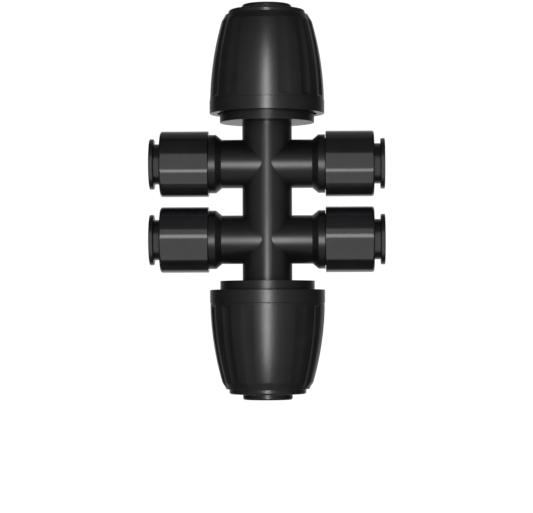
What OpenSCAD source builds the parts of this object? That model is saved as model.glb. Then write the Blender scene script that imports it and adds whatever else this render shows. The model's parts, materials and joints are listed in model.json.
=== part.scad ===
// Double-cross tube fitting. A run pipe takes 16 mm tubing at the top and the bottom, under screw-on
// lock nuts, and four side ports take 1/4 inch tube by pushing it in.
// +Z is the run's axis, +X and -X are the ports' axes, and the origin is the centre of the moulding.

/* [Run pipe] */
// Outer diameter of the run pipe and of the spigots' tips
run_d = 12.4; // [12:0.1:12.8]
// Bore of the run pipe
run_bore_d = 9; // [8.8:0.1:9.6]
// Distance between the upper and the lower pair of branches
branch_spacing = 18.95; // [18:0.05:20]

/* [Screw collars] */
// Diameter of the collars, which is also the thread's major diameter
collar_d = 23.6; // [23.2:0.1:24]
// Distance from the middle of the fitting to each collar
collar_from = 19.8; // [19.2:0.1:20.4]
// Distance from the middle of the fitting to the end of each thread
collar_to = 30; // [29.6:0.1:30.4]
// Thread pitch
thread_pitch = 2.5; // [2.4:0.05:2.6]
// Depth of the thread
thread_depth = 1; // [0.8:0.05:1.1]

/* [Spigots] */
// Distance from the middle of the fitting to each spigot's tip
spigot_to = 49.4; // [49:0.05:49.5]
// Diameter over the barbs
barb_d = 13.8; // [13.4:0.1:14]

/* [Lock nuts] */
// Diameter of the plain rim band
nut_d = 28.74; // [28.4:0.02:29]
// Distance from the middle of the fitting to each nut's rim
nut_from = 22; // [21.8:0.1:22.2]
// Width of the rim band
nut_band_w = 3.6; // [3:0.1:4]
// Radius of the curve of the nut's side
nut_side_r = 75; // [70:1:80]
// Diameter of the ring round the mouth
nut_mouth_d = 19.2; // [19:0.1:19.6]
// Bore of the mouth
nut_mouth_bore_d = 17; // [16.8:0.1:17.2]
// Number of flutes on each side, between the two smooth panels
flutes = 6; // [4:1:6]
// Angle from one flute to the next
flute_pitch = 24.8; // [24:0.1:25]
// Turn of each smooth panel's middle from the front, counterclockwise as seen from the nut's mouth
panel_turn = -8.7; // [-20:0.1:20]

/* [Side ports] */
// Diameter of the branch pipes
branch_d = 12.15; // [12:0.05:12.3]
// Diameter of the collar at the end of each branch
port_collar_d = 14.65; // [14.4:0.05:14.9]
// Diameter of the port caps
cap_d = 16.45; // [16.2:0.05:16.7]
// Distance from the run's axis to the inner end of each cap
cap_from = 14.5; // [14.4:0.05:14.6]
// Distance from the run's axis to the outer end of each cap
cap_to = 26.7; // [26.6:0.05:26.8]
// Distance from the run's axis to the outer face of each release collet
collet_to = 29.4; // [29.3:0.05:29.8]
// Diameter of the collet's flange
collet_flange_d = 12.65; // [12.2:0.05:13]
// Bore of the collet, which guides a 6.35 mm tube
collet_bore_d = 6.9; // [6.8:0.05:7]
// Bore of the seat that the tube's end goes into
seat_d = 6.5; // [6.4:0.05:6.55]

/* [Hidden] */
$fn = 96;

little = 0.01;
row_z = branch_spacing / 2;

// Thread: the nut's groove is the collar's ridge with a gap all round it
thread_gap = 0.25;
thread_steps = 36;
shank_l = 2.5;
shank_to = collar_from + shank_l;
male_root_r = collar_d / 2 - thread_depth;
male_root_w = 1.6;
male_crest_w = 0.7;
ridge_from = shank_to + 1.1;
ridge_to = collar_to - 1;
ridge_turns = (ridge_to - ridge_from) / thread_pitch;
nut_thread_r = collar_d / 2 + thread_gap;
nut_root_w = male_root_w + thread_gap;
nut_crest_w = male_crest_w + 2 * thread_gap;
nut_extra_turns = 1.35;

// Spigot
spigot_chamfer = 0.3;
barb_l = 3;
barbs_at = [34.5, 40.5];

// Lock nut
nut_r = nut_d / 2;
band_to = nut_from + nut_band_w;
band_step = 0.07;
side_top_z = band_to - 1.3;
side_centre_r = nut_r - band_step - nut_side_r;
side_to = 45.1;
land_end_r = 10.6;
land_end_z = 46.3;
ledge_r = 10.42;
ledge_z = 46.75;
nut_to = 48;
mouth_edge_r = 0.5;
flute_r = 4;
// Depth just above the rim band, and at the shoulder
flute_depths = [0.36, 0.28];
// The flutes next to the smooth panels are shallow, nearly flat facets
facet_r = 30;
facet_depths = [0.124, 0.09];
flute_span = side_to - band_to;
flute_runout_l = 2.6;
flute_runout_rise = 0.2;
flute_runout_drop = 1.6;
flute_sweep = 22;
nut_shoulder_z = 31;
nut_waist_r = 10.6;
counterbore_r = nut_thread_r + 0.3;
counterbore_to = nut_from + 0.6;
mouth_bore_r = nut_mouth_bore_d / 2;
mouth_chamfer = 0.4;
taper_from = 37;
taper_to = 45;
taper_r1 = 10.4;
taper_r2 = 8.9;

// Grip ring, a split cone that fits the nut's taper
grip_gap = 0.2;
grip_play = 0.7;
grip_from = taper_from + grip_play;
grip_to = taper_to - grip_play;
grip_teeth = 4;
grip_bore_r = 8.3;
grip_tooth_r = 8.05;
grip_slit_w = 1.8;

// Side ports, all measured from the run's axis along the branch
cone_from = 11.3;
cone_to = 12.8;
seat_from = 11.5;
seat_to = 16;
waterway_r = 2.25;
socket_r = 4.9;
sleeve_r = 6.5;
sleeve_to = 21.5;
grab_t = 0.35;
grab_r = 6.4;
grab_from = sleeve_to + 0.01;
grab_to = grab_from + grab_t;
cap_bore_r = sleeve_r + 0.05;
cap_shoulder = grab_to + 0.01;
cap_room_r = 5.9;
cap_lip_from = 25.3;
cap_lip_r = 5.12;
cap_edge_r = 0.6;
seam = 0.1;
o_ring_r = 3.9;
o_ring_section_r = 0.9;
spacer_from = 17.95;
spacer_to = 20.2;
tooth_tip_r = 3.05;
tooth_root_r = 4.8;
tooth_bend = 0.15;
tooth_reach = 1.2;
teeth = 10;
tooth_slot_w = 0.5;
collet_from = 22.4;
collet_r = 5.05;
collet_nose_r = 4.3;
nose_wall = 0.25;
nose_l = 0.55;
neck_l = 0.4;
bead_r = 5.7;
bead_from = 24;
bead_to = 25.2;
bead_edge = 0.4;
flange_from = 28.3;
flange_edge_r = 0.25;
collet_slit_w = 0.9;
lead_in_l = 0.6;
lead_in_r = 0.45;

function on_circle(r, a) = [r * cos(a), r * sin(a)];
function side_r(z) = side_centre_r + sqrt(pow(nut_side_r, 2) - pow(z - side_top_z, 2));

// A rod with a right-hand thread, from from_z to to_z. The ridge starts at ridge_z on the +X side, stands
// on root_r, reaches crest_r, and rises and sinks over a sixth of a turn at its ends.
// Each step of the ridge has four points: its foot, its crest's two edges, and its other foot.
module threaded_rod(root_r, crest_r, root_w, crest_w, from_z, to_z, ridge_z, turns) {
    n = thread_steps;
    steps = floor(turns * n);
    fade = n / 6;
    ridge = [
        for (i = [0:steps])
            let (height = min(1, i / fade, (steps - i) / fade),
                 foot = on_circle(root_r, i * 360 / n),
                 top = on_circle(root_r + height * (crest_r - root_r), i * 360 / n),
                 z = ridge_z + thread_pitch * i / n)
            each [[foot.x, foot.y, z - root_w / 2], [top.x, top.y, z - crest_w / 2],
                  [top.x, top.y, z + crest_w / 2], [foot.x, foot.y, z + root_w / 2]]
    ];
    bottom = len(ridge);
    top = bottom + n;
    rims = [
        for (z = [from_z, to_z], i = [0:n - 1])
            let (p = on_circle(root_r, i * 360 / n)) [p.x, p.y, z]
    ];
    flanks = [
        for (i = [0:steps - 1], k = [0:2])
            let (a = 4 * i + k) each [[a, a + 1, a + 5], [a, a + 5, a + 4]]
    ];
    valleys = [
        for (i = [0:steps - n - 1]) [4 * i + 3, 4 * (i + n), 4 * (i + n) + 4, 4 * i + 7]
    ];
    // The ridge's first and last points lie on the edge of the strip next to them
    below = [
        for (i = [0:n - 1])
            [bottom + i, 4 * i, 4 * i + 4, if (i == n - 1) each [3, 2, 1, 0], bottom + (i + 1) % n]
    ];
    above = [
        for (i = [steps - n:steps - 1])
            [4 * i + 7, 4 * i + 3, if (i == steps - n) each [for (k = [0:3]) 4 * steps + k],
             top + i % n, top + (i + 1) % n]
    ];
    ends = [[for (i = [0:n - 1]) bottom + i], [for (i = [n - 1:-1:0]) top + i]];
    polyhedron(points = concat(ridge, rims), faces = concat(flanks, valleys, below, above, ends));
}

// Turns a shape that stands on +Z so that it lies along a port's axis
module at_port(side, row) {
    translate([0, 0, row * row_z]) rotate([0, side * 90, 0]) children();
}

module at_end(end) {
    rotate([0, end > 0 ? 0 : 180, 0]) children();
}

// A ring between two radii, standing on +Z
module ring(r_out, r_in, from_z, to_z) {
    translate([0, 0, from_z]) difference() {
        cylinder(r = r_out, h = to_z - from_z);
        translate([0, 0, -1]) cylinder(r = r_in, h = to_z - from_z + 2);
    }
}

// ---- cross_body ----

module barb(from_z) {
    translate([0, 0, from_z]) cylinder(r1 = barb_d / 2, r2 = run_d / 2, h = barb_l);
}

module run_end() {
    cylinder(d = run_d, h = spigot_to - spigot_chamfer);
    translate([0, 0, spigot_to - spigot_chamfer])
        cylinder(r1 = run_d / 2, r2 = run_d / 2 - spigot_chamfer, h = spigot_chamfer);
    for (z = barbs_at) barb(z);
    translate([0, 0, collar_from]) cylinder(d = collar_d, h = shank_to - collar_from);
    threaded_rod(male_root_r, collar_d / 2, male_root_w, male_crest_w,
                 shank_to - 0.5, collar_to, ridge_from, ridge_turns);
}

module branch() {
    cylinder(d = branch_d, h = cone_to - little);
    translate([0, 0, cone_from])
        cylinder(r1 = branch_d / 2, r2 = port_collar_d / 2, h = cone_to - cone_from);
    translate([0, 0, cone_to - little]) cylinder(d = port_collar_d, h = cap_from - cone_to + little);
    translate([0, 0, cone_to]) cylinder(r = sleeve_r, h = sleeve_to - cone_to);
}

module branch_bores() {
    cylinder(r = waterway_r, h = seat_from + 1);
    translate([0, 0, seat_from]) cylinder(d = seat_d, h = seat_to - seat_from + 1);
    translate([0, 0, seat_to]) cylinder(r = socket_r, h = sleeve_to - seat_to + 1);
}

module cross_body() {
    color([0.09, 0.09, 0.095]) difference() {
        union() {
            for (end = [-1, 1]) at_end(end) run_end();
            for (side = [-1, 1], row = [-1, 1]) at_port(side, row) branch();
        }
        translate([0, 0, -spigot_to - 1]) cylinder(d = run_bore_d, h = 2 * spigot_to + 2);
        for (side = [-1, 1], row = [-1, 1]) at_port(side, row) branch_bores();
    }
}

// ---- lock nuts ----

module nut_outline() {
    translate([0, nut_from]) square([nut_r, nut_band_w]);
    intersection() {
        translate([0, band_to - little]) square([nut_r, side_to - band_to + little]);
        translate([side_centre_r, side_top_z]) circle(r = nut_side_r, $fn = 720);
    }
    polygon([[0, side_to - little], [side_r(side_to), side_to - little], [land_end_r, land_end_z],
             [ledge_r, ledge_z], [0, ledge_z]]);
    translate([0, ledge_z - little]) square([nut_mouth_d / 2, nut_to - ledge_z - mouth_edge_r + little]);
    translate([0, ledge_z - little]) square([nut_mouth_d / 2 - mouth_edge_r, nut_to - ledge_z + little]);
    translate([nut_mouth_d / 2 - mouth_edge_r, nut_to - mouth_edge_r]) circle(r = mouth_edge_r);
}

module nut_hollow() {
    rotate_extrude() polygon([
        [0, nut_from - 1], [counterbore_r, nut_from - 1], [counterbore_r, counterbore_to],
        [nut_waist_r, counterbore_to], [nut_waist_r, taper_from], [taper_r1, taper_from],
        [taper_r2, taper_to], [mouth_bore_r, taper_to], [mouth_bore_r, nut_to - mouth_chamfer],
        [mouth_bore_r + mouth_chamfer, nut_to], [mouth_bore_r + mouth_chamfer, nut_to + 1],
        [0, nut_to + 1]
    ]);
    threaded_rod(male_root_r + thread_gap, nut_thread_r, nut_root_w, nut_crest_w,
                 nut_from - 3, nut_shoulder_z, ridge_from - thread_pitch,
                 ridge_turns + nut_extra_turns);
}

// One flute's cutter: a curved rod that follows the nut's side, and runs out under the rim band
module flute_cutter(rod_r, depths) {
    start_r = side_r(band_to) - depths[0] + rod_r;
    lean = atan((depths[0] - depths[1]) / flute_span);
    curve_r = nut_side_r + rod_r - depths[0];
    difference() {
        translate([start_r, 0, band_to]) rotate([0, -lean, 0])
            translate([-curve_r, 0, side_top_z - band_to]) rotate([90, 1, 0])
            rotate_extrude(angle = flute_sweep, $fn = 240)
            translate([curve_r, 0]) circle(r = rod_r, $fn = 24 * sqrt(rod_r));
        translate([0, 0, band_to - 3]) cylinder(r = nut_r + 1, h = 3);
        translate([0, 0, band_to - little])
            cylinder(r1 = side_r(band_to) + flute_runout_rise,
                     r2 = side_r(band_to) - flute_runout_drop, h = flute_runout_l);
    }
}

function flute_angle(panel, i) = panel + (i - (flutes - 1) / 2) * flute_pitch + panel_turn;

module lock_nut() {
    color([0.1, 0.1, 0.105]) difference() {
        rotate_extrude() nut_outline();
        nut_hollow();
        for (panel = [0, 180], i = [0:flutes - 1]) rotate([0, 0, flute_angle(panel, i)])
            if (i == 0 || i == flutes - 1) flute_cutter(facet_r, facet_depths);
            else flute_cutter(flute_r, flute_depths);
    }
}

module top_lock_nut() { at_end(1) lock_nut(); }
module bottom_lock_nut() { at_end(-1) lock_nut(); }

// ---- grip rings ----

module grip_ring() {
    taper = (taper_r1 - taper_r2) / (taper_to - taper_from);
    tooth_l = (grip_to - grip_from) / grip_teeth;
    color([0.82, 0.82, 0.8]) difference() {
        translate([0, 0, grip_from])
            cylinder(r1 = taper_r1 - grip_gap - taper * (grip_from - taper_from),
                     r2 = taper_r1 - grip_gap - taper * (grip_to - taper_from), h = grip_to - grip_from);
        for (i = [0:grip_teeth - 1]) translate([0, 0, grip_from + i * tooth_l - little])
            cylinder(r1 = grip_tooth_r, r2 = grip_bore_r, h = tooth_l + 2 * little);
        translate([0, -grip_slit_w / 2, grip_from - 1]) cube([nut_r, grip_slit_w, grip_to]);
    }
}

module top_grip_ring() { at_end(1) grip_ring(); }
module bottom_grip_ring() { at_end(-1) grip_ring(); }

// ---- port caps ----

module port_cap() {
    color([0.03, 0.03, 0.035]) rotate_extrude() difference() {
        union() {
            translate([0, cap_from + seam]) square([cap_d / 2, cap_to - cap_from - seam - cap_edge_r]);
            translate([0, cap_from + seam]) square([cap_d / 2 - cap_edge_r, cap_to - cap_from - seam]);
            translate([cap_d / 2 - cap_edge_r, cap_to - cap_edge_r]) circle(r = cap_edge_r);
        }
        translate([0, cap_from]) square([cap_bore_r, cap_shoulder - cap_from]);
        translate([0, cap_shoulder - little]) square([cap_room_r, cap_lip_from - cap_shoulder + little]);
        translate([0, cap_lip_from - little]) square([cap_lip_r, cap_to - cap_lip_from + 1]);
    }
}

module upper_left_port_cap() { at_port(-1, 1) port_cap(); }
module upper_right_port_cap() { at_port(1, 1) port_cap(); }
module lower_left_port_cap() { at_port(-1, -1) port_cap(); }
module lower_right_port_cap() { at_port(1, -1) port_cap(); }

// ---- seals ----

module o_ring() {
    color([0.16, 0.16, 0.17]) translate([0, 0, seat_to + o_ring_section_r + 0.03])
        rotate_extrude() translate([o_ring_r, 0]) circle(r = o_ring_section_r);
}

module upper_left_o_ring() { at_port(-1, 1) o_ring(); }
module upper_right_o_ring() { at_port(1, 1) o_ring(); }
module lower_left_o_ring() { at_port(-1, -1) o_ring(); }
module lower_right_o_ring() { at_port(1, -1) o_ring(); }

module spacer_ring() {
    color([0.9, 0.9, 0.88]) ring(socket_r - 0.05, seat_d / 2, spacer_from, spacer_to);
}

module upper_left_spacer_ring() { at_port(-1, 1) spacer_ring(); }
module upper_right_spacer_ring() { at_port(1, 1) spacer_ring(); }
module lower_left_spacer_ring() { at_port(-1, -1) spacer_ring(); }
module lower_right_spacer_ring() { at_port(1, -1) spacer_ring(); }

// ---- grab rings ----

module grab_ring() {
    color([0.75, 0.76, 0.78]) difference() {
        rotate_extrude() polygon([
            [tooth_tip_r, grab_to - tooth_reach], [tooth_tip_r, grab_from - tooth_reach],
            [tooth_root_r - tooth_bend, grab_from], [grab_r, grab_from], [grab_r, grab_to],
            [tooth_root_r, grab_to]
        ]);
        for (i = [0:teeth - 1]) rotate([0, 0, i * 360 / teeth])
            translate([0, -tooth_slot_w / 2, grab_from - 3])
            cube([tooth_root_r - 0.1, tooth_slot_w, 4]);
    }
}

module upper_left_grab_ring() { at_port(-1, 1) grab_ring(); }
module upper_right_grab_ring() { at_port(1, 1) grab_ring(); }
module lower_left_grab_ring() { at_port(-1, -1) grab_ring(); }
module lower_right_grab_ring() { at_port(1, -1) grab_ring(); }

// ---- release collets ----

module release_collet() {
    bore_r = collet_bore_d / 2;
    flange_r = collet_flange_d / 2;
    color([0.07, 0.07, 0.075]) difference() {
        rotate_extrude() difference() {
            union() {
                polygon([
                    [0, collet_from], [bore_r + nose_wall, collet_from],
                    [collet_nose_r, collet_from + nose_l], [collet_nose_r, bead_from - neck_l],
                    [collet_r, bead_from], [bead_r, bead_from], [bead_r, bead_from + bead_edge],
                    [collet_r + 0.1, bead_to], [collet_r, bead_to],
                    [collet_r, flange_from + little], [0, flange_from + little]
                ]);
                translate([0, flange_from + flange_edge_r])
                    square([flange_r, collet_to - flange_from - 2 * flange_edge_r]);
                translate([0, flange_from]) square([flange_r - flange_edge_r, collet_to - flange_from]);
                for (z = [flange_from + flange_edge_r, collet_to - flange_edge_r])
                    translate([flange_r - flange_edge_r, z]) circle(r = flange_edge_r);
            }
            polygon([
                [0, collet_from - 1], [bore_r, collet_from - 1], [bore_r, collet_to - lead_in_l],
                [bore_r + lead_in_r, collet_to], [bore_r + lead_in_r, collet_to + 1],
                [0, collet_to + 1]
            ]);
        }
        for (a = [45, 135]) rotate([0, 0, a])
            translate([-cap_d / 2, -collet_slit_w / 2, collet_from - 1])
            cube([cap_d, collet_slit_w, bead_to - collet_from + 1]);
    }
}

module upper_left_release_collet() { at_port(-1, 1) release_collet(); }
module upper_right_release_collet() { at_port(1, 1) release_collet(); }
module lower_left_release_collet() { at_port(-1, -1) release_collet(); }
module lower_right_release_collet() { at_port(1, -1) release_collet(); }

cross_body();
top_lock_nut();
bottom_lock_nut();
top_grip_ring();
bottom_grip_ring();
upper_left_port_cap();
upper_right_port_cap();
lower_left_port_cap();
lower_right_port_cap();
upper_left_o_ring();
upper_right_o_ring();
lower_left_o_ring();
lower_right_o_ring();
upper_left_spacer_ring();
upper_right_spacer_ring();
lower_left_spacer_ring();
lower_right_spacer_ring();
upper_left_grab_ring();
upper_right_grab_ring();
lower_left_grab_ring();
lower_right_grab_ring();
upper_left_release_collet();
upper_right_release_collet();
lower_left_release_collet();
lower_right_release_collet();
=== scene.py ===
"""Looks of the double-cross tube fitting: lock nuts, push-in ports and a moulded body in black plastic."""

import json
import math

import bmesh
import bpy
from mathutils import Matrix, Vector

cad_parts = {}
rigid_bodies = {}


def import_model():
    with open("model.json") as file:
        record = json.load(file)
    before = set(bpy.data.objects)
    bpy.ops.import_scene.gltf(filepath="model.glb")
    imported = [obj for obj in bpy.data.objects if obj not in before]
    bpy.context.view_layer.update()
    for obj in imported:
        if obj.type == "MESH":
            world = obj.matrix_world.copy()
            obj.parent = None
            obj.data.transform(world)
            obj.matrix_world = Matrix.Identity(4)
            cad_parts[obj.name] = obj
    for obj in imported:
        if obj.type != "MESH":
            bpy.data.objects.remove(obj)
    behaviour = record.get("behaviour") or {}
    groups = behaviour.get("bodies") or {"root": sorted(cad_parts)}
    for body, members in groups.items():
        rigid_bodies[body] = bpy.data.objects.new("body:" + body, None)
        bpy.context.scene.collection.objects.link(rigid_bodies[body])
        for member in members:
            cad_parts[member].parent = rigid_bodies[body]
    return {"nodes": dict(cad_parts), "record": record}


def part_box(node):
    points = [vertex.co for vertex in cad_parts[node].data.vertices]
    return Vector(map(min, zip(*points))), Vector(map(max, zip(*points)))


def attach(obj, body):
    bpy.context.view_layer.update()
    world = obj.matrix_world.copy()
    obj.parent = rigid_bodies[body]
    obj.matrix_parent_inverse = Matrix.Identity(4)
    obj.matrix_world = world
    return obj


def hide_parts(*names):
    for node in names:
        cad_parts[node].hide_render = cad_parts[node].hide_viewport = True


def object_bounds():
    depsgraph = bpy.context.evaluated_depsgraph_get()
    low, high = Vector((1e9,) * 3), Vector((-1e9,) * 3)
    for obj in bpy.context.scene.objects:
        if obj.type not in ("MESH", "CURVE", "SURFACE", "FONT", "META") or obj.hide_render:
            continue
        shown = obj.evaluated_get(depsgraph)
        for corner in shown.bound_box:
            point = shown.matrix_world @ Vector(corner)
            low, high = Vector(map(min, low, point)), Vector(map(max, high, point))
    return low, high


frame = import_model()
cad_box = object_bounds()
nodes = frame["nodes"]

MM = 0.001
PORTS = [(row, side) for row in ("upper", "lower") for side in ("left", "right")]
ENDS = ("top", "bottom")


# ---- Mesh helpers ----

def size_across(node, axis):
    low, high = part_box(node)
    return high[axis] - low[axis]


def rounded(corners, steps=5):
    """A closed outline, in mm, from corners (r, z, radius): each corner with a radius becomes an arc."""
    points = []
    for i, (r, z, radius) in enumerate(corners):
        here = Vector((r, z))
        if radius <= 0:
            points.append((r, z))
            continue
        before = Vector(corners[i - 1][:2]) - here
        after = Vector(corners[(i + 1) % len(corners)][:2]) - here
        before.normalize()
        after.normalize()
        half = math.acos(max(-1, min(1, before.dot(after)))) / 2
        centre = here + (before + after).normalized() * (radius / math.sin(half))
        start = here + before * (radius / math.tan(half)) - centre
        end = here + after * (radius / math.tan(half)) - centre
        turn = math.atan2(start.x * end.y - start.y * end.x, start.dot(end))
        for k in range(steps + 1):
            a = math.atan2(start.y, start.x) + turn * k / steps
            points.append((centre.x + radius * math.cos(a), centre.y + radius * math.sin(a)))
    return points


def finish_mesh(name, bm, sharp_angle=38):
    """Turns a bmesh into an object with smooth faces, sharp where two faces meet at more than sharp_angle."""
    bmesh.ops.recalc_face_normals(bm, faces=bm.faces)
    for face in bm.faces:
        face.smooth = True
    for edge in bm.edges:
        edge.smooth = edge.calc_face_angle(0) < math.radians(sharp_angle)
    mesh = bpy.data.meshes.new(name)
    bm.to_mesh(mesh)
    bm.free()
    piece = bpy.data.objects.new(name, mesh)
    bpy.context.scene.collection.objects.link(piece)
    weighted = piece.modifiers.new("Weighted normals", "WEIGHTED_NORMAL")
    weighted.keep_sharp = True
    weighted.mode = "FACE_AREA"
    return piece


def sweep(bm, columns, place, closed=True):
    """A skin through columns of points, each a closed outline in mm. An open sweep gets two flat ends."""
    rings = [[bm.verts.new(place @ Vector(p) * MM) for p in column] for column in columns]
    count = len(rings[0])
    for j in range(len(rings) if closed else len(rings) - 1):
        this, that = rings[j], rings[(j + 1) % len(rings)]
        for i in range(count):
            k = (i + 1) % count
            bm.faces.new((this[i], this[k], that[k], that[i]))
    if not closed:
        bm.faces.new(rings[0])
        bm.faces.new(list(reversed(rings[-1])))


def turned(outline, angle):
    return [(r * math.cos(angle), r * math.sin(angle), z) for r, z in outline]


def full_circle(count):
    return [2 * math.pi * j / count for j in range(count)]


# ---- Port caps and release collets ----

CAP_BORE_R, CAP_ROOM_R, CAP_LIP_R = 6.55, 5.9, 5.12
CAP_SHOULDER, CAP_LIP_FROM = 21.87, 25.3
COLLET_BORE_R, COLLET_BARREL_R, FINGER_NECK_R, FINGER_BEAD_R = 3.45, 5.05, 4.3, 5.7
COLLET_FLANGE_W, FINGER_L, HALF_SLIT = 1.1, 2.8, 0.45
ROUND_COLUMNS, FINGER_COLUMNS = 144, 24

def at_port(row, side):
    """The turn and shift from a port's own frame, with +Z outwards, to the row frame, in mm."""
    low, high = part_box(f"{row}_{side}_port_cap")
    turn = Matrix.Rotation(math.radians(90 if side == "right" else -90), 4, "Y")
    return Matrix.Translation((0, 0, (low.z + high.z) / 2 / MM)) @ turn


def port_span(node):
    """Where a port's piece starts and ends, measured out from the run's axis, in mm."""
    low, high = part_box(node)
    return sorted((abs(low.x) / MM, abs(high.x) / MM))


def port_cap(row, side):
    name = f"{row}_{side}_port_cap"
    start, end = port_span(name)
    outer_r = size_across(name, 2) / 2 / MM
    outline = rounded([
        (CAP_BORE_R, start, 0.15), (outer_r, start, 0.14), (outer_r, end, 0.6), (CAP_LIP_R, end, 0.18),
        (CAP_LIP_R, CAP_LIP_FROM, 0.05), (CAP_ROOM_R, CAP_LIP_FROM, 0.05),
        (CAP_ROOM_R, CAP_SHOULDER, 0.05), (CAP_BORE_R, CAP_SHOULDER, 0.05),
    ], 6)
    bm = bmesh.new()
    sweep(bm, [turned(outline, a) for a in full_circle(ROUND_COLUMNS)], at_port(row, side))
    piece = finish_mesh(f"{name}_shell", bm)
    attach(piece, "fitting_body")
    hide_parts(name)
    return piece


def release_collet(row, side):
    """A flanged guide tube whose inner end is cut into four springy fingers with a bead round them."""
    name = f"{row}_{side}_release_collet"
    start, end = port_span(name)
    flange_r = size_across(name, 2) / 2 / MM
    bore_r, barrel_r, finger_to = COLLET_BORE_R, COLLET_BARREL_R, start + FINGER_L
    flange_from = end - COLLET_FLANGE_W
    bead_from = start + 1.6
    barrel = rounded([
        (bore_r, finger_to - 0.05, 0.03), (barrel_r, finger_to - 0.05, 0.03),
        (barrel_r, flange_from, 0.12), (flange_r, flange_from, 0.25), (flange_r, end, 0.25),
        (bore_r + 0.45, end, 0.12), (bore_r, end - 0.6, 0.15),
    ], 6)
    finger = rounded([
        (bore_r, start, 0.04), (bore_r + 0.25, start, 0.05), (FINGER_NECK_R, start + 0.55, 0.08),
        (FINGER_NECK_R, start + 1.2, 0.1), (barrel_r, bead_from, 0.05), (FINGER_BEAD_R, bead_from, 0.06),
        (FINGER_BEAD_R, start + 2.0, 0.1), (barrel_r + 0.1, finger_to, 0.02), (bore_r, finger_to, 0.02),
    ], 3)
    bm = bmesh.new()
    place = at_port(row, side)
    sweep(bm, [turned(barrel, a) for a in full_circle(ROUND_COLUMNS)], place)
    slit = math.asin(HALF_SLIT / 4.6)
    for quarter in range(4):
        first = math.radians(45 + 90 * quarter) + slit
        last = math.radians(135 + 90 * quarter) - slit
        angles = [first + (last - first) * j / FINGER_COLUMNS for j in range(FINGER_COLUMNS + 1)]
        sweep(bm, [turned(finger, a) for a in angles], place, closed=False)
    piece = finish_mesh(f"{name}_sleeve", bm)
    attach(piece, f"{row}_{side}_collet")
    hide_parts(name)
    return piece


# ---- Lock nuts ----

# Heights and radii in mm, as if the nut stands rim down round the run's top end
BAND_TO, SIDE_TO = 25.6, 45.1
LEDGE_Z, LEDGE_R, LAND_R, NOSE_R, MOUTH_BORE_R = 46.75, 10.42, 10.6, 9.6, 8.5
COUNTERBORE_R, WAIST_R, THREAD_TOP = 12.35, 10.6, 31
SIDE_R, SIDE_CENTRE_R, SIDE_TOP_Z = 75.0, -60.7, 24.3
FLUTE = {"radius": 4.0, "depth": 0.36, "depth_end": 0.28}
FACET = {"radius": 30.0, "depth": 0.124, "depth_end": 0.09}
FLUTE_RUNOUT, FLUTE_RISE, FLUTE_DROP = 2.6, 0.2, 1.6
OFF_ALL_FLUTES = 90
FLUTES, FLUTE_PITCH, PANEL_TURN = 6, 24.8, -8.7
PITCH, GROOVE_FROM, GROOVE_TURNS = 2.5, 20.9, 3.583
GROOVE_ROOT_R, GROOVE_CREST_R, GROOVE_ROOT_W, GROOVE_CREST_W = 11.05, 12.05, 1.85, 1.2
EDGE_SOFTNESS = 0.02
ACROSS_FLUTE = [0, 0.22, 0.42, 0.6, 0.76, 0.88, 0.95, 1.0, 1.05, 1.12, 1.25]


def side_radius(z):
    return SIDE_CENTRE_R + math.sqrt(SIDE_R ** 2 - (z - SIDE_TOP_Z) ** 2)


def soft_min(a, b):
    near = min(a, b)
    return near - EDGE_SOFTNESS * math.log(
        math.exp((near - a) / EDGE_SOFTNESS) + math.exp((near - b) / EDGE_SOFTNESS))


def flute_centre(flute, z):
    """How far from the nut's axis the middle of the flute's arc is at this height."""
    share = max(0, min(1, (z - BAND_TO) / (SIDE_TO - BAND_TO)))
    depth = flute["depth"] + (flute["depth_end"] - flute["depth"]) * share
    return side_radius(z) - depth + flute["radius"]


def flute_half_angle(flute, z):
    """Half of the angle that a flute takes of the nut's side at this height, in degrees."""
    radius, centre = side_radius(z), flute_centre(flute, z)
    cosine = (centre ** 2 + radius ** 2 - flute["radius"] ** 2) / (2 * centre * radius)
    return math.degrees(math.acos(cosine))


def fluted(flute, radius, z, off_centre):
    """The nut's radius at off_centre degrees from the middle of this flute."""
    centre = flute_centre(flute, z)
    inside = flute["radius"] ** 2 - (centre * math.sin(math.radians(off_centre))) ** 2
    if inside <= 0 or z < BAND_TO:
        return radius
    floor_r = centre * math.cos(math.radians(off_centre)) - math.sqrt(inside)
    share = (z - BAND_TO) / FLUTE_RUNOUT
    ramp_r = side_radius(BAND_TO) + FLUTE_RISE - (FLUTE_RISE + FLUTE_DROP) * share
    return soft_min(radius, -soft_min(-floor_r, -ramp_r) if share < 1.2 else floor_r)


def grooved(z, angle):
    """The radius of the nut's threaded bore at this height and angle, in degrees."""
    radius = GROOVE_ROOT_R
    for lap in range(5):
        turns = angle / 360 + lap
        off = abs(z - GROOVE_FROM - PITCH * turns)
        height = min(1, turns * 6, (GROOVE_TURNS - turns) * 6)
        if height > 0 and off < GROOVE_ROOT_W / 2:
            slope = (GROOVE_ROOT_W / 2 - off) / ((GROOVE_ROOT_W - GROOVE_CREST_W) / 2)
            radius = GROOVE_ROOT_R + (GROOVE_CREST_R - GROOVE_ROOT_R) * height * min(1, slope)
    return radius


def nut_columns():
    """The columns round the nut as (flute, share of its half angle, share of the way on, next flute)."""
    flutes = []
    for panel in (0, 180):
        for i in range(FLUTES):
            kind = FACET if i in (0, FLUTES - 1) else FLUTE
            flutes.append({**kind, "middle": panel + (i - (FLUTES - 1) / 2) * FLUTE_PITCH})
    columns = []
    for k, flute in enumerate(flutes):
        after = dict(flutes[(k + 1) % len(flutes)])
        after["middle"] += 360 if k == len(flutes) - 1 else 0
        shares = [-s for s in reversed(ACROSS_FLUTE[1:])] + ACROSS_FLUTE
        columns += [(flute, share, 0, after) for share in shares]
        plain = 22 if after["middle"] - flute["middle"] > FLUTE_PITCH + 1 else 5
        columns += [(flute, ACROSS_FLUTE[-1], j / plain, after) for j in range(1, plain)]
    return columns


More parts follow.
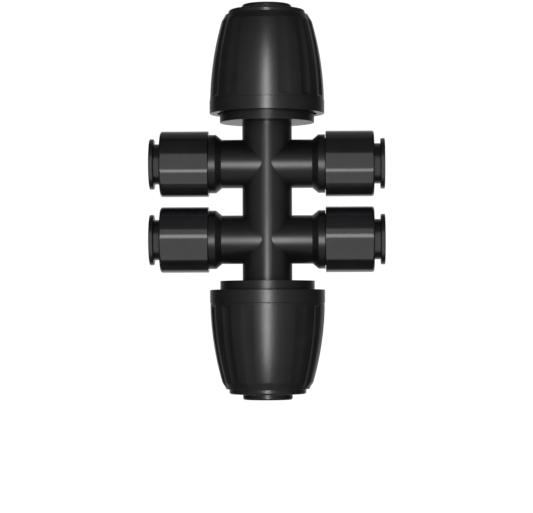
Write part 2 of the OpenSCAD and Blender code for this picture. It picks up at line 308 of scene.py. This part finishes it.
def nut_rows(rim, tip, rim_r):
    """The nut's outline as rows of (r, z, kind), from the rim up the outside and down the inside, in mm."""
    rows = [(r, z, "plain") for r, z in rounded([
        (COUNTERBORE_R, rim, 0.12), (rim_r, rim, 0.22), (rim_r, BAND_TO, 0.1)], 4)]
    heights = [BAND_TO + 0.02 + 0.17 * k for k in range(20)]
    heights += [heights[-1] + 0.62 * k for k in range(1, 26)]
    heights = [z for z in heights if z < SIDE_TO - 0.3]
    rows += [(side_radius(z), z, "side") for z in heights]
    end = rounded([
        (side_radius(44.6), 44.6, 0), (side_radius(SIDE_TO), SIDE_TO, 0.7), (LAND_R, 46.3, 0.3),
        (LEDGE_R, LEDGE_Z, 0.12), (NOSE_R, LEDGE_Z, 0.08), (NOSE_R, tip, 0.5),
        (8.9, tip, 0.1), (MOUTH_BORE_R, tip - 0.4, 0.1),
    ], 4)
    rows += [(r, z, "side" if r > 10.3 and z < 46.8 else "plain") for r, z in end]
    taper = [(MOUTH_BORE_R, 46.3), (MOUTH_BORE_R, 45), (8.9, 45), (9.65, 41), (10.4, 37),
             (WAIST_R, 37), (WAIST_R, 34), (WAIST_R, THREAD_TOP)]
    rows += [(r, z, "plain") for r, z in taper]
    rows += [(GROOVE_ROOT_R, THREAD_TOP - 0.2 * k, "thread") for k in range(43)]
    rows += [(COUNTERBORE_R, 22.6, "plain")]
    return rows


def lock_nut(end):
    name = f"{end}_lock_nut"
    low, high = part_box(name)
    rim, tip = sorted((abs(low.z) / MM, abs(high.z) / MM))
    rim_r = (high.x - low.x) / 2 / MM
    rows = nut_rows(rim, tip, rim_r)
    outlines = []
    for flute, share, onward, after in nut_columns():
        outline = []
        for r, z, kind in rows:
            height = min(max(z, BAND_TO), LEDGE_Z)
            off = share * flute_half_angle(flute, height)
            angle = flute["middle"] + off
            if onward:
                landing = after["middle"] - share * flute_half_angle(after, height)
                angle += (landing - angle) * onward
                off = OFF_ALL_FLUTES
            turn = angle + PANEL_TURN
            if kind == "side":
                r = fluted(flute, r, z, off)
            elif kind == "thread":
                r = grooved(z, turn % 360)
            a = math.radians(turn)
            outline.append((r * math.cos(a), r * math.sin(a), z))
        outlines.append(outline)
    bm = bmesh.new()
    flip = Matrix.Rotation(math.pi if end == "bottom" else 0, 4, "Y")
    sweep(bm, outlines, flip)
    piece = finish_mesh(f"{name}_shell", bm, 32)
    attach(piece, f"{end}_nut")
    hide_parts(name)
    return piece


# ---- Materials ----

def plastic(name, colour, roughness, spread, grain, bump, tint=1.6, soft_edges=False):
    """Moulded plastic: mottled colour, uneven gloss, a fine grain, and paler rubbed edges.

    The gloss varies by spread either side of roughness. Tint is how much paler a rubbed edge is, and
    soft_edges rounds the shading of sharp edges."""
    material = bpy.data.materials.new(name)
    material.use_nodes = True
    tree = material.node_tree
    shader = tree.nodes["Principled BSDF"]
    new, link = tree.nodes.new, tree.links.new
    place = new("ShaderNodeTexCoord").outputs["Object"]

    def noise(scale, detail, roughness_value=0.55):
        node = new("ShaderNodeTexNoise")
        node.inputs["Scale"].default_value = scale
        node.inputs["Detail"].default_value = detail
        node.inputs["Roughness"].default_value = roughness_value
        link(place, node.inputs["Vector"])
        return node.outputs["Fac"]

    def ranged(value, from_min, from_max, to_min, to_max):
        node = new("ShaderNodeMapRange")
        limits = {"From Min": from_min, "From Max": from_max, "To Min": to_min, "To Max": to_max}
        for key, number in limits.items():
            node.inputs[key].default_value = number
        link(value, node.inputs["Value"])
        return node.outputs["Result"]

    mottle = noise(220, 3)
    flow = noise(60, 2)
    pores = noise(grain, 4, 0.65)

    edge_normal = new("ShaderNodeBevel")
    edge_normal.samples = 4
    edge_normal.inputs["Radius"].default_value = 0.00022
    geometry = new("ShaderNodeNewGeometry")
    dot = new("ShaderNodeVectorMath")
    dot.operation = "DOT_PRODUCT"
    link(edge_normal.outputs["Normal"], dot.inputs[0])
    link(geometry.outputs["Normal"], dot.inputs[1])
    edge = ranged(dot.outputs["Value"], 0.985, 0.86, 0, 1)
    worn = new("ShaderNodeMath")
    worn.operation = "MULTIPLY"
    link(edge, worn.inputs[0])
    link(ranged(mottle, 0.42, 0.62, 0.15, 1), worn.inputs[1])

    base = new("ShaderNodeMix")
    base.data_type = "RGBA"
    base.inputs[6].default_value = (*[c * 0.8 for c in colour], 1)
    base.inputs[7].default_value = (*[min(1, c * 1.25) for c in colour], 1)
    link(ranged(mottle, 0.3, 0.7, 0, 1), base.inputs[0])
    rubbed = new("ShaderNodeMix")
    rubbed.data_type = "RGBA"
    rubbed.inputs[7].default_value = (*[min(1, c * tint + 0.004) for c in colour], 1)
    link(worn.outputs[0], rubbed.inputs[0])
    link(base.outputs[2], rubbed.inputs[6])
    link(rubbed.outputs[2], shader.inputs["Base Color"])

    gloss = new("ShaderNodeMath")
    gloss.operation = "ADD"
    link(ranged(flow, 0.3, 0.7, roughness - spread, roughness + spread), gloss.inputs[0])
    link(ranged(pores, 0.3, 0.7, -spread * 0.5, spread * 0.5), gloss.inputs[1])
    link(gloss.outputs[0], shader.inputs["Roughness"])

    height = new("ShaderNodeBump")
    height.inputs["Strength"].default_value = bump
    height.inputs["Distance"].default_value = 0.00002
    link(pores, height.inputs["Height"])
    if soft_edges:
        link(edge_normal.outputs["Normal"], height.inputs["Normal"])
    wave = new("ShaderNodeBump")
    wave.inputs["Strength"].default_value = bump * 0.6
    wave.inputs["Distance"].default_value = 0.0001
    link(flow, wave.inputs["Height"])
    link(height.outputs["Normal"], wave.inputs["Normal"])
    link(wave.outputs["Normal"], shader.inputs["Normal"])

    shader.inputs["IOR"].default_value = 1.5
    return material


MATERIALS = {
    "body_plastic": plastic("satin_black_body", (0.008, 0.008, 0.009), 0.33, 0.03, 9000, 0.35,
                            soft_edges=True),
    "nut_plastic": plastic("satin_black_nut", (0.007, 0.007, 0.008), 0.3, 0.03, 8000, 0.4),
    "grip_ring_plastic": plastic("natural_acetal_grip", (0.62, 0.6, 0.55), 0.4, 0.05, 7000, 0.3, tint=1.1),
    "cap_plastic": plastic("gloss_black_cap", (0.006, 0.006, 0.007), 0.13, 0.02, 12000, 0.12),
    "collet_plastic": plastic("semi_gloss_black_collet", (0.008, 0.008, 0.009), 0.28, 0.03, 10000, 0.2),
    "seal_rubber": plastic("black_rubber_seal", (0.014, 0.014, 0.015), 0.55, 0.06, 6000, 0.5),
    "spacer_plastic": plastic("natural_acetal_spacer", (0.65, 0.63, 0.58), 0.38, 0.05, 7000, 0.3, tint=1.1),
}


def spring_steel():
    """Stainless strip: bright metal with a fine grain."""
    material = plastic("stainless_spring_strip", (0.55, 0.55, 0.56), 0.28, 0.06, 5000, 0.3, tint=1.1)
    material.node_tree.nodes["Principled BSDF"].inputs["Metallic"].default_value = 1.0
    return material


MATERIALS["ring_steel"] = spring_steel()

for row, side in PORTS:
    port_cap(row, side).data.materials.append(MATERIALS["cap_plastic"])
    release_collet(row, side).data.materials.append(MATERIALS["collet_plastic"])
for end in ENDS:
    lock_nut(end).data.materials.append(MATERIALS["nut_plastic"])

SLOTS = {entry["node"]: entry["material_slot"] for entry in frame["record"]["subparts"]}
for name, node in nodes.items():
    node.data.materials.clear()
    node.data.materials.append(MATERIALS[SLOTS[name]])


# ---- Stage, camera and light ----

PALE = 1.05
FLOOR_RADIUS, FLOOR_GAP = 6, 0.0004
CAMERA_AWAY, CAMERA_TURN, CAMERA_HEIGHT, CAMERA_ROLL = 0.552, 1.5, -0.0298, -0.2
CAMERA_TARGET = (-0.00024, 0, -0.0137)
LENS, SENSOR = 149.27, 36

def emission(name, colour, strength):
    material = bpy.data.materials.new(name)
    material.use_nodes = True
    tree = material.node_tree
    tree.nodes.remove(tree.nodes["Principled BSDF"])
    shader = tree.nodes.new("ShaderNodeEmission")
    shader.inputs["Color"].default_value = (*colour, 1)
    shader.inputs["Strength"].default_value = strength
    tree.links.new(shader.outputs[0], tree.nodes["Material Output"].inputs["Surface"])
    return material


def make_floor():
    bm = bmesh.new()
    bmesh.ops.create_circle(bm, cap_ends=True, segments=96, radius=FLOOR_RADIUS)
    mesh = bpy.data.meshes.new("floor")
    bm.to_mesh(mesh)
    bm.free()
    floor = bpy.data.objects.new("floor", mesh)
    bpy.context.scene.collection.objects.link(floor)
    floor.location.z = cad_box[0].z - FLOOR_GAP
    floor.data.materials.append(emission("pale_floor", (1, 1, 1), PALE))
    floor.visible_diffuse = False
    floor.visible_glossy = False
    floor.visible_shadow = False


def make_camera():
    data = bpy.data.cameras.new("camera")
    camera = bpy.data.objects.new("camera", data)
    bpy.context.scene.collection.objects.link(camera)
    turn = math.radians(CAMERA_TURN)
    camera.location = (CAMERA_AWAY * math.sin(turn), -CAMERA_AWAY * math.cos(turn), CAMERA_HEIGHT)
    look = (Vector(CAMERA_TARGET) - camera.location).to_track_quat("-Z", "Y").to_matrix()
    camera.rotation_euler = (look @ Matrix.Rotation(math.radians(CAMERA_ROLL), 3, "Z")).to_euler()
    data.lens = LENS
    data.sensor_width = SENSOR
    data.clip_start, data.clip_end = 0.01, 20
    bpy.context.scene.camera = camera


def area_light(name, at, facing, width, height, watts, receivers):
    """A rectangular panel that lights only the objects in the receivers collection."""
    data = bpy.data.lights.new(name, "AREA")
    data.shape = "RECTANGLE"
    data.size, data.size_y = width, height
    data.energy = watts
    light = bpy.data.objects.new(name, data)
    bpy.context.scene.collection.objects.link(light)
    light.location = at
    light.rotation_euler = (Vector(facing) - Vector(at)).to_track_quat("-Z", "Y").to_euler()
    light.visible_camera = False
    light.light_linking.receiver_collection = receivers
    return light


def group_of(name, members):
    collection = bpy.data.collections.new(name)
    for member in members:
        collection.objects.link(member)
    return collection


def make_world():
    """Pale all round to the eye. What the plastic mirrors is a grey front, dim sides and a bright back."""
    world = bpy.data.worlds.new("studio")
    bpy.context.scene.world = world
    world.use_nodes = True
    tree = world.node_tree
    tree.nodes.clear()
    new, link = tree.nodes.new, tree.links.new
    direction = new("ShaderNodeTexCoord").outputs["Generated"]

    def math_node(operation, *values):
        node = new("ShaderNodeMath")
        node.operation = operation
        for socket, value in zip(node.inputs, values):
            if isinstance(value, (int, float)):
                socket.default_value = value
            else:
                link(value, socket)
        return node.outputs[0]

    def level(value, stops):
        ramp = new("ShaderNodeValToRGB")
        elements = ramp.color_ramp.elements
        while len(elements) > 1:
            elements.remove(elements[-1])
        elements[0].position, elements[0].color = stops[0][0], (*[stops[0][1]] * 3, 1)
        for position, grey in stops[1:]:
            elements.new(position).color = (grey, grey, grey, 1)
        link(value, ramp.inputs["Fac"])
        return ramp.outputs["Color"]

    def toward(vector):
        node = new("ShaderNodeVectorMath")
        node.operation = "DOT_PRODUCT"
        link(direction, node.inputs[0])
        node.inputs[1].default_value = vector
        return node.outputs["Value"]

    across = math_node("SQRT", math_node("SUBTRACT", 1.0001, math_node("POWER", toward((0, 0, 1)), 2)))
    behind = math_node("MULTIPLY_ADD", math_node("DIVIDE", toward((0, 1, 0)), across), 0.5, 0.5)
    round_about = level(behind, AROUND)
    upward = level(math_node("MULTIPLY_ADD", toward((0, 0, 1)), 0.5, 0.5), UPWARD)
    below = level(toward(BELOW_FACING), BELOW)
    grey = math_node("MULTIPLY", math_node("MULTIPLY", round_about, upward), below)
    studio = new("ShaderNodeBackground")
    link(grey, studio.inputs["Strength"])
    pale = new("ShaderNodeBackground")
    pale.inputs["Color"].default_value = studio.inputs["Color"].default_value = (1, 1, 1, 1)
    pale.inputs["Strength"].default_value = PALE
    both = new("ShaderNodeMixShader")
    link(new("ShaderNodeLightPath").outputs["Is Camera Ray"], both.inputs[0])
    link(studio.outputs[0], both.inputs[1])
    link(pale.outputs[0], both.inputs[2])
    link(both.outputs[0], new("ShaderNodeOutputWorld").inputs["Surface"])


# How bright the studio is: from the front (0) round to the back (1), from straight down (0) to straight
# up (1), and by how nearly a direction points at the dark floor under the fitting
AROUND = [(0.0, 0.42), (0.165, 0.34), (0.33, 0.2), (0.52, 0.1), (0.67, 0.045), (0.81, 0.05),
          (0.86, 0.14), (0.92, 0.28), (1.0, 0.8)]
UPWARD = [(0.0, 1.0), (0.74, 1.0), (0.8, 0.42), (1.0, 0.3)]
BELOW_FACING = (0, 0.3, -0.954)
BELOW = [(0.0, 1.0), (0.85, 1.0), (0.9, 0.12), (1.0, 0.08)]

make_camera()
make_floor()
make_world()
bpy.context.scene.view_settings.view_transform = "Standard"

shown = {o.name: o for o in bpy.data.objects if o.type == "MESH"}
caps_lit = group_of("lit_by_cross_strip", [o for n, o in shown.items() if "port_cap" in n])
ports_lit = group_of("lit_by_ports_panel",
                     [o for n, o in shown.items() if "port_cap" in n or "collet" in n])
nuts_lit = group_of("lit_by_upright_strip", [o for n, o in shown.items() if "nut" in n])
body_lit = group_of("lit_by_body_strip", [nodes["cross_body"]])
outside_lit = group_of("lit_by_back_panel",
                       [*ports_lit.objects, *nuts_lit.objects, nodes["cross_body"]])
# Narrow strips in front make the upright and the level highlights, and the back panel adds soft light only
area_light("upright_strip", (0, -0.46, -0.01), (0, 0, -0.005), 0.042, 0.5, 1.95, nuts_lit)
area_light("body_strip", (0, -0.46, -0.05), (0, 0, -0.005), 0.035, 0.17, 0.76, body_lit)
area_light("cross_strip", (0, -0.031, -0.0047), (0, 0, -0.0047), 0.13, 0.0055, 0.011, caps_lit)
area_light("ports_panel", (0, -0.3, -0.5), (0, 0, -0.5), 1.4, 1.4, 6.0, ports_lit)
back = area_light("back_panel", (0.25, 0.6, 0.35), (0, 0, 0), 0.7, 0.7, 16.0, outside_lit)
back.visible_glossy = False
